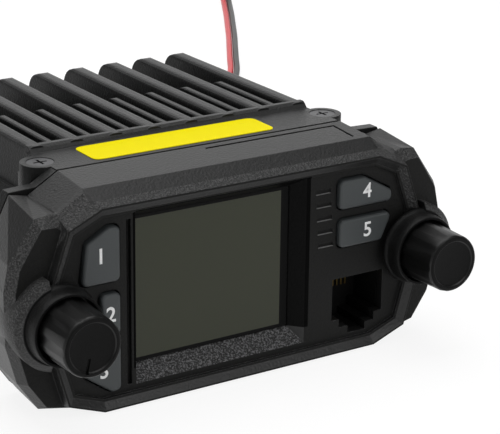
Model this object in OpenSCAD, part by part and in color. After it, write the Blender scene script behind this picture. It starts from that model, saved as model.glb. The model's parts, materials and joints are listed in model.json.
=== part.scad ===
// Compact mobile transceiver: finned metal chassis, moulded front panel with a display, five keys,
// two knobs and a microphone socket, rear antenna socket and a twin power lead.
// Millimetres. X to the right seen from the front, Y to the back, Z up, standing on Z = 0.
// Every sub-part is drawn with Y = 0 at the rim of the front panel and set back by front_y,
// which puts the origin under the middle of the object.

/* [Front panel] */
// Reach of a wing beyond the axis of its knob
wing_reach = 8.8; // [8.4:0.1:11]
// Depth from the front rim to the seam
panel_d = 15.2; // [15:0.2:18]
// Height of the rim above the window
rim_above = 4.3; // [4:0.1:6]
// Half width of the flat top
top_half_w = 32; // [31:0.5:33]
// How much lower the rim stands than the flat top
rim_drop = 3.2; // [2.4:0.1:4]
// Depth of the bevel behind the rim
bevel_d = 5.3; // [4:0.1:7]
// Wall of the moulding
panel_wall = 2; // [1.6:0.1:2.4]
// Depth of the front face behind the rim
face_y = 1.8; // [1.4:0.1:2.2]
// Width of the sloping band inside the rim
rim_band = 1.7; // [1.2:0.1:2]
// Dark joint between panel and chassis
seam = 0.6; // [0.2:0.1:0.8]

/* [Display] */
// Window width
window_w = 34.8; // [32:0.2:36]
// Window height
window_h = 29.2; // [27:0.2:30]
// Middle of the window from the middle of the panel
window_x = -5; // [-6:0.5:-4]
// Lower edge of the window above the base
window_base = 7; // [6.5:0.1:8]
// Depth of the window behind the rim
window_y = 4.6; // [4:0.1:5]
// Glued margin of the lens round the window
lens_margin = 1.2; // [0.8:0.1:1.4]
// Lens thickness
lens_t = 1; // [0.8:0.1:1.2]
// Display cell thickness
cell_t = 2.2; // [1.6:0.1:2.6]

/* [Keys] */
// Keys stand proud of the front face by
key_proud = 1; // [0.6:0.1:1.4]
// Travel of a key
key_travel = 0.5; // [0.3:0.1:0.8]
// Gap round a key
key_gap = 0.3; // [0.2:0.05:0.4]
// Corner radius of a key
key_r = 1.1; // [0.8:0.1:1.4]
// From the window to the left keys
left_key_gap = 4.5; // [4.3:0.1:6]
// From the window to the right keys
right_key_gap = 9.8; // [9.6:0.1:12]

/* [Knobs] */
// Axis of the left knob from the inner edge of the left keys
knob_side = 13.3; // [13.1:0.1:15]
// Height of the knob axis
knob_z = 20.2; // [19.5:0.1:21]
// Length of a knob
knob_l = 13.3; // [10:0.1:16]
// Radius at the foot
knob_r = 6.1; // [5.6:0.1:6.4]
// Radius at the end
knob_end_r = 5.8; // [5.2:0.1:6]
// Number of grip flutes
flutes = 10; // [8:1:14]
// Depth of a flute at the foot
flute_t = 0.35; // [0.2:0.05:0.5]
// Depth of a flute at the end
flute_end_t = 0.15; // [0.05:0.05:0.25]
// Running gap between a knob and its collar
knob_gap = 0.4; // [0.3:0.05:0.6]
// Control shaft radius
shaft_r = 3; // [2.5:0.1:3.2]
// Running clearance of a control shaft
shaft_fit = 0.05; // [0.03:0.01:0.08]

/* [Microphone socket] */
// Middle of the socket from the window
jack_gap = 15.4; // [15.2:0.1:17]
// Floor of the plug opening
jack_z = 7; // [6.6:0.1:7.4]
// Width of the plug opening
jack_w = 12.2; // [11.9:0.1:12.6]
// Height of the plug opening
jack_h = 8.6; // [8:0.1:9]

/* [Chassis] */
// Rear face behind the rim
rear_y = 82; // [76:1:110]
// Half width of the chassis body
body_half_w = 36; // [35.6:0.2:37]
// Side and rear wall
body_wall = 3.5; // [3:0.1:4]
// Fin tops above the flat top
fin_rise = 1.2; // [0.6:0.1:4]
// Height of the fins above the floor between them
fin_h = 9.4; // [8:0.2:11]
// Plate under the fins
deck_t = 5.5; // [4.5:0.5:6]
// Number of tall fins
fins = 8; // [6:1:8]
// Fin pitch
fin_pitch = 8.6; // [8:0.1:8.8]
// Fin width at the top
fin_w = 3.4; // [2.6:0.1:4]
// Front step of the fin field behind the rim
step_y = 27.4; // [26.5:0.1:30]
// Panel screw position from the middle
screw_x = 32.3; // [32:0.1:32.6]
// Panel screw position behind the rim
screw_y = 21.9; // [21.5:0.1:22.3]
// Mounting thread radius on the sides
side_thread_r = 2; // [1.5:0.25:2.5]
// Distance between the two side threads
side_pitch = 20; // [16:1:26]

/* [Bottom cover] */
// Cover sheet
cover_t = 1.2; // [1:0.1:1.5]
// Speaker slots
speaker_slots = 7; // [5:2:9]
// Speaker radius
speaker_r = 18; // [15:0.5:20]

/* [Rear] */
// Antenna socket flange
aerial_flange = 25.4; // [24:0.1:26]
// Antenna socket thread radius
aerial_r = 7.9; // [7:0.1:8.2]
// Length of the thread
aerial_l = 14; // [11:0.5:18]
// Diameter of one conductor of the power lead
lead_d = 1.9; // [1.6:0.1:2]

/* [Hidden] */
$fn = 48;

// Small clearances: between parts that meet, between a screw and its hole, and the cutters' overrun
fit = 0.1;
screw_fit = 0.05;
over = 1;

// Colours
black_metal = "#2c2d2e";
black_plastic = "#333435";
key_grey = "#565b5d";
steel = "#8d9093";
brass = "#b99a4e";
board_green = "#1f5a3c";

// Controls across the front, from the window outwards: the panel is as wide and high as what it carries
jack_side = 0.8;
control_w = 10.6;
control_gap = 0.2;
window_left = window_w / 2 - window_x;
window_right = window_w / 2 + window_x;
window_z = window_base + window_h / 2;
key_left = window_left + left_key_gap;
key_right = window_right + right_key_gap;
jack_x = window_right + jack_gap;
knob_x = max(key_left + knob_side, jack_x + jack_w / 2 + jack_side + control_gap + control_w / 2);

// Heights and half widths of the front panel outline
hw = knob_x + wing_reach;
rim_z = window_base + window_h + rim_above;
top_z = rim_z + rim_drop;
bevel_z = top_z - 0.7;
top_slope = atan2(top_z - bevel_z, panel_d - bevel_d);
facet_x = hw - 10.6;
facet_z = top_z - 3.7;
base_half_w = hw - 18;
fin_z = top_z + fin_rise;
valley_z = fin_z - fin_h;

// Right half of the rim, from the base upwards, and of the same frame further back
rim_half = [[base_half_w, 0.4], [hw - 10.5, 3.2], [hw - 7.8, 12.6], [hw - 7.8, rim_z - 12.3],
  [facet_x - 0.5, rim_z - 3.1], [top_half_w - 1, rim_z]];
frame_half = [[base_half_w, 0], [hw - 9.5, 2.6], [hw - 7, 12.6], [hw - 7, rim_z - 12.3],
  [facet_x - 0.3, facet_z - 0.4], [top_half_w + 0.2, bevel_z]];
back_frame_half = [[base_half_w, 0], [hw - 9.5, 2.6], [hw - 7, 12.6], [hw - 7, rim_z - 12.3],
  [facet_x, facet_z], [top_half_w, top_z]];

// Right wing: front face, outer edge and back, each ending at a point inside the frame
wing_face_y = 2;
wing_edge_y = 4.3;
wing_in_x = hw - 14;
wing_bend = rim_z - 14;
wing_bend_top = rim_z - 9;
wing_front = [[base_half_w, 0.8], [hw - 7, 3.2], [hw - 3.3, 8.6], [hw - 1.3, 16], [hw - 1.3, wing_bend],
  [hw - 2.3, wing_bend_top - 0.5], [hw - 6.8, top_z - 5.8], [hw - 9.6, top_z - 5.9], [wing_in_x, top_z - 8.9]];
wing_edge = [[base_half_w, 0], [hw - 6.2, 2.3], [hw - 2.1, 8.3], [hw, 16], [hw, wing_bend],
  [hw - 1, wing_bend_top], [hw - 6.4, top_z - 4.4], [hw - 9.4, top_z - 4], [wing_in_x, top_z - 4.9]];
wing_back = [[base_half_w, 0], [hw - 7, 2.3], [hw - 3, 8.3], [hw - 1, 16], [hw - 1, wing_bend],
  [hw - 2.2, wing_bend_top], [hw - 6.8, top_z - 3], [hw - 10, top_z - 3.6], [wing_in_x, top_z - 4.5]];
// Plain outline inside the wings, which the walls and the room behind the face follow
core_half = [[base_half_w, 0], [hw - 7, 2.3], [hw - 3, 8.3], [hw - 1, 16], [hw - 1, wing_bend],
  [hw - 2.2, wing_bend_top], [hw - 7, top_z - 6.2], [top_half_w, top_z]];
// Outline of the chassis flange behind the panel, which fills the dip between the top and a wing
flange_half = [[base_half_w, 0], [hw - 7, 2.3], [hw - 3, 8.3], [hw - 1, 16], [hw - 1, wing_bend],
  [hw - 2.2, wing_bend_top], [hw - 7, top_z - 2.7], [hw - 12.6, top_z - 2.5], [top_half_w, top_z]];

// Microphone socket
jack_back = 1.4;
latch_w = 4.1;
latch_step_w = 8.5;
latch_step_h = 1.8;
latch_h = 3.4;

// Places of the parts behind the front face
board_t = 1.6;
board_y = panel_d - 2.4;
cavity_y = 6.8;
pocket_y = face_y + 1.8;
cell_y = window_y + lens_t + fit;
holder_y = cell_y + cell_t + fit;
front_of_chassis = panel_d + seam;
flange_t = 2.5;
groove_w = 0.5;
groove_t = 0.6;

// Knob wells, collars and controls
well_y = 0.8;
knob_foot = well_y - knob_gap;
knob_reach = knob_l - knob_foot;
well_r = knob_r + knob_gap;
collar_front = 4.2;
collar_wall = 0.5;
collar_r = well_r + 0.8;
collar_foot_r = well_r + 1.2;
bulge_r = well_r + 2.6;
control_d = 6.4;
bushing_r = shaft_r + 0.5;
shaft_end = board_y - 1;
shaft_l = knob_reach - 2.4;
flat_t = 1.2;
pointer_angle = -105;
flute_r = 4.5;

// Chassis
deck_z = valley_z - deck_t;
strip_t = 2.4;
cable_port_w = 40;
cable_port_z = 8;
cover_boss_r = 3.6;
cover_boss_h = 5.2;
cover_screw_l = 5.4;
boss_r = 3.9;
lug_w = 5.4;
lug_h = 4;
lug_z = top_z - strip_t - fit;
lug_end = screw_y + 4;
cavity_front = front_of_chassis + 5;
cavity_rear = rear_y - body_wall;
cavity_half_w = body_half_w - body_wall;
cover_edge = 1.5;
fin_r = 1;
rib_z = fin_z - 0.5;
rib_w = 1.6;
fin_end = rear_y - 7.4;
fin_round = 4.5;
rib_end = step_y + 26;
field_half_w = (fins - 1) / 2 * fin_pitch + fin_w / 2;
side_y = (cavity_front + cavity_rear) / 2;
side_z = 23;
side_thread_l = 7;
side_threads = [side_y - side_pitch / 2, side_y + side_pitch / 2];
label_w = 40.8;
label_d = 9;
label_x = -2.7;
label_y = (front_of_chassis + step_y) / 2;

// Right half of the chassis body
body_half = [[body_half_w - 1, 0], [body_half_w, 1], [body_half_w, valley_z - 5],
  [body_half_w - 3, valley_z]];

// Boards and parts in the chassis
main_z = 16.4;
main_screw_l = 7;
main_half_w = cavity_half_w - 2.5;
main_front = cavity_front + 2.5;
main_rear = cavity_rear - 2.5;
post_inset = 3.4;
post_r = 3;
module_x = 4;
module_y = main_rear - 14;
module_w = 26;
module_d = 16;
module_h = 8;
module_tab_w = 42;
module_tab_d = 9;
module_tab_t = 3;
module_pitch = 34;
can_x = -14;
can_w = 24;
can_t = 0.4;
can_h = 4.5;
can_front = main_front + 12;
can_rear = module_y - module_d / 2 - 1;
capacitor_x = 20;
capacitor_y = main_front + 20;
capacitor_r = 3.9;
capacitor_h = deck_z - main_z - board_t - 1.2;
speaker_y = (cavity_front + cavity_rear) / 2;
gasket_t = 0.8;
basket_z = cover_t + gasket_t;
basket_t = 0.8;
basket_h = 4.4;
speaker_rim = 2;
coil_r = 6;
magnet_r = 11;
magnet_h = 5;
link_z = 23;
link_w = 16;
cable_t = 0.6;

// Rear sockets
aerial_x = -14;
aerial_z = 18;
aerial_flange_t = 2.5;
aerial_reach = rear_y + aerial_flange_t + aerial_l;
aerial_neck_r = aerial_r - 0.4;
aerial_bore = 6.3;
aerial_pitch = 18.2;
contact_r = 2.8;
aerial_tail = 5;
aerial_cup = 9;
jack35_x = 8;
jack35_z = 10;
jack35_r = 3;
lead_x = 25;
lead_z = 12;
grommet_l = 9;
grommet_neck_r = 4.2;

// Set-back that centres the object over the origin
front_y = (knob_reach - aerial_reach) / 2;

// Power lead: middle line from the grommet to the connector, along the surface it lies on
lead_floor = lead_d / 2 + 0.1;
lead_route = [[25, 91, 12], [25, 95, 12], [26, 101, 10.2], [28, 108, 6], [32, 116, 2.4],
  [38, 124, lead_floor], [46, 131, lead_floor], [56, 138, lead_floor],
  [68, 146, lead_floor], [80, 154, lead_floor],
  [92, 163.5, lead_floor], [103, 173.5, lead_floor], [113, 184, lead_floor], [122, 196, lead_floor],
  [130, 209, lead_floor], [138, 222, lead_floor], [146, 235, lead_floor], [154, 248.5, lead_floor],
  [162, 262, lead_floor], [170, 276, lead_floor], [178, 290, lead_floor]];
lead_steps = 2;
connector_l = 22;
connector_w = 9;
connector_h = 6;

// Key outlines, anticlockwise seen from the front, and the place of each key's stem
upper_left = [[5.1 - knob_x, knob_z + 5.4], [-key_left, knob_z + 5.4], [-key_left, rim_z - 4.1],
  [-key_left - 2.4, rim_z - 4.1], [6.3 - knob_x, rim_z - 6.7]];
middle_left = [[10 - knob_x, knob_z - 5.2], [-key_left, knob_z - 5.2], [-key_left, knob_z + 3.2],
  [9 - knob_x, knob_z + 3.2]];
lower_left = [[5.8 - knob_x, 7.6], [-key_left - 2.1, 3.7], [-key_left, 3.7], [-key_left, knob_z - 7.3],
  [6.8 - knob_x, knob_z - 7.3]];
upper_right = [[key_right, knob_z + 10.2], [knob_x - 5, knob_z + 10.2], [knob_x - 5.4, knob_z + 12.6],
  [key_right + 6, rim_z - 4], [key_right, rim_z - 4]];
lower_right = [[key_right + 0.2, knob_z + 2.2], [knob_x - 7.5, knob_z + 2.2], [knob_x - 4.8, knob_z + 8],
  [key_right + 0.2, knob_z + 8]];
key_outlines = [upper_left, middle_left, lower_left, upper_right, lower_right];
key_stems = [[-key_left - 3.3, (knob_z + rim_z) / 2], [-key_left - 1.9, knob_z - 1], [-key_left - 2.9, 9],
  [key_right + 5.8, (knob_z + rim_z) / 2 + 2.9], [key_right + 5.8, knob_z + 5.1]];
key_flange = 0.6;
key_flange_t = 1;
stem_r = 1.4;
switch_w = 5;
switch_h = 3.6;
switch_well = 2.6;

// Fasteners
panel_screw_r = 1.25;
panel_head_r = 2.6;
board_screw_r = 1.1;
cover_screw_r = 1.25;
cover_head_r = 2.3;
main_screw_r = 1.4;
small_head_t = 1;
panel_screws = [for (s = [-1, 1]) [s * screw_x, screw_y]];
board_screw_l = 6;
board_screw_xz = [for (s = [-1, 1], z = [9.2, rim_z - 9.1]) [s * (hw - 8.6), z]];
cover_screw_xy = [for (s = [-1, 1], y = [cavity_front + 1.5, cavity_rear - 1.5])
  [s * (cavity_half_w - 4), y]];
main_posts = [for (s = [-1, 1], y = [main_front + post_inset, main_rear - post_inset])
  [s * (main_half_w - post_inset), y]];
module_screws = [for (s = [-1, 1]) [module_x + s * module_pitch / 2, module_y]];
aerial_screws = [for (sx = [-1, 1], sz = [-1, 1])
  [aerial_x + sx * aerial_pitch / 2, aerial_z + sz * aerial_pitch / 2]];

// Points of closed outlines in the X-Z plane
function unit(v) = v / norm(v);
function left_of(v) = [-v[1], v[0]];
function turned(v, a) = [v[0] * cos(a) - v[1] * sin(a), v[0] * sin(a) + v[1] * cos(a)];
function corner(p, q, r, d) =
  let (a = left_of(unit(q - p)), b = left_of(unit(r - q)))
  q + d * (a + b) / (1 + a * b);
function before(i, n) = (i + n - 1) % n;
function inset(pts, d) = let (n = len(pts))
  [for (i = [0:n - 1]) corner(pts[before(i, n)], pts[i], pts[(i + 1) % n], d)];
function fillet(p, q, r, rad, steps) =
  let (a = unit(q - p), b = unit(r - q), c = corner(p, q, r, rad))
  let (bend = atan2(a[0] * b[1] - a[1] * b[0], a * b))
  [for (k = [0:steps]) c - rad * turned(left_of(a), bend * k / steps)];
function rounded(pts, rad, steps = 4) = let (n = len(pts))
  [for (i = [0:n - 1]) each fillet(pts[before(i, n)], pts[i], pts[(i + 1) % n], rad, steps)];
function both_sides(half) =
  concat(half, [for (i = [len(half) - 1:-1:0]) [-half[i][0], half[i][1]]]);
function box_outline(x0, z0, x1, z1) = [[x0, z0], [x1, z0], [x1, z1], [x0, z1]];
function arc(c, r, a0, a1, steps) =
  [for (k = [0:steps]) c + r * [cos(a0 + (a1 - a0) * k / steps), sin(a0 + (a1 - a0) * k / steps)]];

// Solid through outlines of equal point count, each [y, points], from front to back
module loft(sections) {
  n = len(sections[0][1]);
  m = len(sections);
  points = [for (s = sections, p = s[1]) [p[0], s[0], p[1]]];
  front = [for (i = [n - 1:-1:0]) i];
  back = [for (i = [0:n - 1]) (m - 1) * n + i];
  sides = [for (k = [0:m - 2], i = [0:n - 1], t = [0, 1])
    let (a = k * n + i, b = k * n + (i + 1) % n)
    t == 0 ? [a, b, b + n] : [a, b + n, a + n]];
  polyhedron(points = points, faces = concat([front], sides, [back]));
}

// Outline in the X-Z plane made solid from y0 to y1
module along_y(y0, y1) translate([0, y1, 0]) rotate([90, 0, 0]) linear_extrude(y1 - y0) children();

// Outline in the Y-Z plane made solid across a width
module across(w) translate([-w / 2, 0, 0]) rotate([90, 0, 90]) linear_extrude(w) children();

// Round bar from y0 to y1 at a place in the X-Z plane
module rod(at, y0, y1, r) translate([at[0], y1, at[1]]) rotate([90, 0, 0]) cylinder(h = y1 - y0, r = r);

// Block between two corners
module block(p, q) translate(p) cube(q - p);

// Puts a sub-part in the part's own frame
module seat() translate([0, front_y, 0]) children();

// Front panel: outer form
module panel_outside() {
  loft([[0, both_sides(rim_half)], [bevel_d, both_sides(frame_half)],
    [panel_d, both_sides(back_frame_half)]]);
  for (m = [0, 1]) mirror([m, 0, 0]) {
    loft([[wing_face_y, wing_front], [wing_edge_y, wing_edge], [panel_d, wing_back]]);
    translate([knob_x, 0, knob_z]) knob_collar();
  }
}

// Collar round a knob's foot: a stepped ring with a coned rim, and a wider bulge on its outer side
module knob_collar() rotate([90, 0, 0]) {
  rotate_extrude() polygon([[0, -cavity_y], [collar_foot_r, -cavity_y], [collar_foot_r, 0.5],
    [collar_foot_r - 0.3, 0.9], [collar_r, 1.1], [collar_r, collar_front - 1.8],
    [well_r + collar_wall, collar_front], [0, collar_front]]);
  intersection() {
    rotate_extrude() polygon([[0, -cavity_y], [bulge_r, -cavity_y], [bulge_r, 0.4],
      [collar_foot_r, 1.2], [0, 1.2]]);
    translate([2, -bulge_r, -cavity_y]) cube([bulge_r, 2 * bulge_r, 20]);
  }
}

// Front panel: recessed front face, display recess and openings
module panel_front_cuts() {
  rim = both_sides(rim_half);
  loft([[-0.02, inset(rim, 0.35)], [face_y - 0.8, inset(rim, rim_band)]]);
  along_y(face_y - 0.81, face_y) polygon(inset(rim, rim_band + 0.5));
  loft([[face_y - 0.82, window_outline(1.2, 3.2, 4.1, 2.4)], [window_y + 0.01, window_outline(0, 0, 0, 0)]]);
  window_groove();
  for (k = key_outlines) along_y(0, cavity_y) polygon(rounded(inset(k, -key_gap), key_r + key_gap));
  for (i = [0:4]) sound_slot(i);
  along_y(0, cavity_y) polygon(jack_outline(fit));
  for (s = [-1, 1]) {
    rod([s * knob_x, knob_z], -collar_front - over, well_y, well_r);
    rod([s * knob_x, knob_z], 0, cavity_y, bushing_r + 2 * fit);
  }
  top_groove();
}

// Display recess outline, widened at the left, right, bottom and top
function window_outline(left, right, bottom, top) =
  box_outline(window_x - window_w / 2 - left, window_z - window_h / 2 - bottom,
    window_x + window_w / 2 + right, window_z + window_h / 2 + top);

// Upright groove between the left keys and the display recess
module window_groove() {
  x = window_x - window_w / 2 - 2.8;
  block([x, 0, window_base - 3], [x + 1, face_y + 1.2, rim_z - 3.6]);
}

// One of the short slots beside the display
module sound_slot(i) {
  z = rim_z - 5.9 - i * 2.78;
  x = window_right + 4.7 + i * 0.2;
  block([x, 0, z - 0.45], [x + 3.6, face_y + 0.5, z + 0.45]);
}

// Fine line on the flat top
module top_groove() translate([0, bevel_d, bevel_z]) rotate([top_slope, 0, 0]) {
  rear = panel_d - bevel_d - 1.5;
  block([-1, rear - groove_w, -groove_t], [top_half_w - 2.6, rear, over]);
  block([top_half_w - 2.6 - groove_w, 1.4, -groove_t], [top_half_w - 2.6, rear, over]);
}

// Plug opening of the microphone socket with the stepped latch slot below
function jack_outline(gap) = let (w = jack_w / 2 + gap, m = latch_step_w / 2 + gap,
  k = latch_w / 2 + gap)
  [[jack_x - k, jack_z - latch_h - gap], [jack_x + k, jack_z - latch_h - gap],
   [jack_x + k, jack_z - latch_step_h - gap], [jack_x + m, jack_z - latch_step_h - gap],
   [jack_x + m, jack_z - gap], [jack_x + w, jack_z - gap],
   [jack_x + w, jack_z + jack_h + gap], [jack_x - w, jack_z + jack_h + gap],
   [jack_x - w, jack_z - gap], [jack_x - m, jack_z - gap],
   [jack_x - m, jack_z - latch_step_h - gap], [jack_x - k, jack_z - latch_step_h - gap]];

// Body of the microphone socket behind the panel
function jack_body(gap) = box_outline(jack_x - jack_w / 2 - jack_side - gap, jack_z - latch_h - over - gap,
  jack_x + jack_w / 2 + jack_side + gap, jack_z + jack_h + jack_side + gap);

// Front panel: room behind the face for what it carries
module panel_rear_cuts() {
  along_y(cavity_y, panel_d + over) polygon(inset(both_sides(core_half), panel_wall));
  along_y(window_y, cavity_y + over) polygon(cell_outline(2 * fit));
  for (k = key_outlines) along_y(pocket_y, cavity_y + over) polygon(inset(k, -key_flange - 0.2));
  for (s = [-1, 1]) along_y(well_y + panel_wall, cavity_y + over) polygon(control_outline(s, 3 * fit));
}

function cell_outline(gap) = inset(window_outline(0, 0, 0, 0), -lens_margin - gap);
function control_outline(s, gap) = box_outline(s * knob_x - control_w / 2 - gap,
  knob_z - control_w / 2 - gap, s * knob_x + control_w / 2 + gap, knob_z + control_w / 2 + gap);

// Lug under the chassis strip that a panel screw holds
module panel_lug(s) {
  block([s * screw_x - lug_w / 2, panel_d - 5, lug_z - lug_h],
    [s * screw_x + lug_w / 2, panel_d, lug_z + 0.6]);
  block([s * screw_x - lug_w / 2, panel_d - over, lug_z - lug_h], [s * screw_x + lug_w / 2, lug_end, lug_z]);
}

// Inner ledge that meets the chassis flange
module panel_ledge() along_y(panel_d - 3, front_of_chassis) difference() {
  polygon(inset(both_sides(core_half), 1.3));
  polygon(inset(both_sides(core_half), panel_wall));
}

module front_panel() color(black_plastic) seat() difference() {
  union() {
    difference() {
      panel_outside();
      panel_front_cuts();
      panel_rear_cuts();
    }
    panel_ledge();
    for (p = board_screw_xz) rod(p, 5, board_y, 2.6);
    for (s = [-1, 1]) panel_lug(s);
  }
  along_y(pocket_y, board_y + fit) polygon(jack_body(2 * fit));
  for (p = board_screw_xz) rod(p, cavity_y, board_y + over, board_screw_r + screw_fit);
  for (p = panel_screws) translate([p[0], p[1], 0]) cylinder(h = top_z, r = panel_screw_r + screw_fit);
}

// Countersunk screw hanging from the origin, with a cross recess
module countersunk(r, head_r, l) difference() {
  union() {
    translate([0, 0, -l]) cylinder(h = l, r = r);
    translate([0, 0, r - head_r]) cylinder(h = head_r - r, r1 = r, r2 = head_r);
  }
  for (a = [0, 90]) rotate(a) translate([-head_r * 0.55, -0.25, -0.6]) cube([head_r * 1.1, 0.5, over]);
}

// Hole for a countersunk screw
module countersink(r, head_r, l) {
  translate([0, 0, -l]) cylinder(h = l + over, r = r + screw_fit);
  translate([0, 0, r - head_r - screw_fit])
    cylinder(h = head_r - r + screw_fit, r1 = r, r2 = head_r + screw_fit);
  cylinder(h = over, r = head_r + screw_fit);
}

// Low pan-head screw with its head above the origin and its shank below
module pan_screw(r, head_r, head_t, l) difference() {
  union() {
    translate([0, 0, -l]) cylinder(h = l + 0.1, r = r);
    cylinder(h = head_t, r = head_r);
  }
  for (a = [0, 90]) rotate(a)
    translate([-head_r * 0.55, -0.25, head_t - 0.5]) cube([head_r * 1.1, 0.5, over]);
}

module front_panel_screws() color(black_metal) seat()
  for (p = panel_screws) translate([p[0], p[1], top_z - 0.1]) countersunk(panel_screw_r, panel_head_r, 6);

module control_board_screws() color(steel) seat() for (p = board_screw_xz)
  translate([p[0], board_y + board_t, p[1]]) rotate([-90, 0, 0])
    pan_screw(board_screw_r, 2, small_head_t, board_screw_l);

// Chassis
module fin_section() for (i = [0:fins - 1]) {
  x = (i - (fins - 1) / 2) * fin_pitch;
  foot = fin_w / 2 + 0.5;
  edge = fin_w / 2 - fin_r;
  polygon(concat([[x - foot, valley_z - over], [x + foot, valley_z - over]],
    arc([x + edge, fin_z - fin_r], fin_r, 0, 90, 3), arc([x - edge, fin_z - fin_r], fin_r, 90, 180, 3)));
}

module rib_section() for (i = [0:fins - 2]) {
  x = (i - (fins - 2) / 2) * fin_pitch;
  polygon([[x - rib_w / 2 - 0.3, valley_z - over], [x + rib_w / 2 + 0.3, valley_z - over],
    [x + rib_w / 2, rib_z - 0.3], [x + rib_w / 2 - 0.3, rib_z], [x - rib_w / 2 + 0.3, rib_z],
    [x - rib_w / 2, rib_z - 0.3]]);
}

// Side outline of a fin or rib: square at the front, rounded at the top rear corner
function fin_side(z, end, r, slope) = concat([[step_y, valley_z - over]],
  [[end + r + slope, valley_z - over]], [[end + r, z - r]], arc([end, z - r], r, 0, 90, 6), [[step_y, z]]);

module fin_field() {
  intersection() {
    along_y(step_y, rear_y + over) fin_section();
    across(2 * hw) polygon(fin_side(fin_z, fin_end, fin_round, 2));
  }
  intersection() {
    along_y(step_y, rear_y + over) rib_section();
    across(2 * hw) polygon(fin_side(rib_z, rib_end - 2.5, 2.5, 0.5));
  }
  across(2 * field_half_w) polygon([[step_y - 0.9, deck_z], [step_y - 0.9, top_z - 0.2], [step_y, fin_z - 0.4],
    [step_y + 0.6, fin_z], [step_y + 1.8, fin_z], [step_y + 1.8, deck_z]]);
}

module chassis_outside() {
  along_y(front_of_chassis, front_of_chassis + flange_t) polygon(inset(both_sides(flange_half), 0.15));
  along_y(front_of_chassis + over, rear_y) polygon(both_sides(body_half));
  block([-top_half_w, front_of_chassis, deck_z], [top_half_w, step_y + 1, top_z]);
  for (p = panel_screws) translate([p[0], p[1], deck_z]) cylinder(h = top_z - deck_z, r = boss_r);
  fin_field();
}

// Room inside the chassis, with posts for the main board and bosses for the side threads
module chassis_inside() difference() {
  union() {
    block([-cavity_half_w, cavity_front, -over], [cavity_half_w, cavity_rear, deck_z]);
    block([-cable_port_w / 2, front_of_chassis - over, cable_port_z],
      [cable_port_w / 2, cavity_front + over, deck_z - 2]);
  }
  for (p = main_posts) translate([p[0], p[1], main_z + board_t])
    cylinder(h = deck_z + over - main_z - board_t, r = post_r);
  for (p = cover_screw_xy) translate([p[0], p[1], cover_t + fit]) cylinder(h = cover_boss_h, r = cover_boss_r);
  for (s = [-1, 1], y = side_threads) translate([s * body_half_w, y, side_z]) rotate([0, -s * 90, 0])
    cylinder(h = side_thread_l, r = side_thread_r + 2);
}

module chassis_holes() {
  block([-cavity_half_w - cover_edge, cavity_front - cover_edge, -over],
    [cavity_half_w + cover_edge, cavity_rear + cover_edge, cover_t + fit]);
  for (p = panel_screws) {
    translate([p[0], p[1], top_z - 0.1]) countersink(panel_screw_r, panel_head_r, 8);
    block([p[0] - lug_w / 2 - 0.25, front_of_chassis - over, lug_z - lug_h - 0.25],
      [p[0] + lug_w / 2 + 0.25, lug_end + 0.4, lug_z + fit]);
  }
  for (p = cover_screw_xy) translate([p[0], p[1], 0])
    cylinder(h = cover_screw_l + 0.5, r = cover_screw_r + screw_fit);
  for (p = main_posts) translate([p[0], p[1], main_z]) cylinder(h = main_screw_l + 2, r = main_screw_r + screw_fit);
  for (p = module_screws) translate([p[0], p[1], deck_z - over])
    cylinder(h = 5, r = main_screw_r + screw_fit);
  for (s = [-1, 1], y = side_threads) translate([s * (body_half_w + over), y, side_z]) rotate([0, -s * 90, 0])
    cylinder(h = side_thread_l + 2 * over, r = side_thread_r);
  rod([aerial_x, aerial_z], cavity_rear - over, rear_y + over, aerial_bore + 0.4);
  for (p = aerial_screws) rod(p, rear_y - 5, rear_y + over, main_screw_r + screw_fit);
  rod([jack35_x, jack35_z], cavity_rear - over, rear_y + over, jack35_r + fit);
  rod([lead_x, lead_z], cavity_rear - over, rear_y + over, grommet_neck_r + fit);
}

module chassis() color(black_metal) seat() difference() {
  chassis_outside();
  difference() {
    chassis_inside();
    for (p = aerial_screws) rod(p, rear_y - 7, rear_y, 3);
  }
  chassis_holes();
}

// Sticker on the flat strip, bare
module top_label() color("#f6e200") seat() translate([label_x, label_y, top_z])
  linear_extrude(0.12)
    polygon(rounded(box_outline(-label_w / 2, -label_d / 2, label_w / 2, label_d / 2), 1.6, 6));

// Bottom cover
module bottom_cover() color(black_metal) seat() difference() {
  block([-cavity_half_w - cover_edge + 0.2, cavity_front - cover_edge + 0.2, 0],
    [cavity_half_w + cover_edge - 0.2, cavity_rear + cover_edge - 0.2, cover_t]);
  for (p = cover_screw_xy) translate([p[0], p[1], 0.05]) mirror([0, 0, 1])
    countersink(cover_screw_r, cover_head_r, 3);
  for (i = [0:speaker_slots - 1]) speaker_slot((i - (speaker_slots - 1) / 2) * 4);
}

// One speaker slot, shorter towards the rim of the cone
module speaker_slot(y) {
  half = sqrt(pow(speaker_r - 3, 2) - y * y) - 1;
  translate([0, speaker_y + y, -over]) linear_extrude(cover_t + 2 * over) {
    square([2 * half, 2], center = true);
    for (s = [-1, 1]) translate([s * half, 0]) circle(r = 1, $fn = 24);
  }
}

module cover_screws() color(black_metal) seat() for (p = cover_screw_xy)
  translate([p[0], p[1], 0.05]) mirror([0, 0, 1]) countersunk(cover_screw_r, cover_head_r, cover_screw_l);

// Display
module display_lens() color("#3a3a35") seat()
  along_y(window_y, window_y + lens_t) polygon(cell_outline(0));

module display_cell() color("#6d7274") seat() along_y(cell_y, cell_y + cell_t) polygon(cell_outline(0));

module display_holder() color("#d8d8d2") seat() along_y(holder_y, board_y) difference() {
  polygon(cell_outline(-0.4));
  polygon(cell_outline(-2));
}

// Control board behind the front panel
module control_board() color(board_green) seat() along_y(board_y, board_y + board_t) difference() {
  polygon(inset(both_sides(core_half), panel_wall + 0.5));
  for (s = [-1, 1]) translate([s * screw_x, lug_z]) square([lug_w + 0.8, 2 * lug_h + 0.8], center = true);
  for (p = board_screw_xz) translate(p) circle(r = board_screw_r + screw_fit);
  for (s = [-1, 1]) translate([s * (hw - 6), top_z - 2]) square([10, 7], center = true);
}

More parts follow.
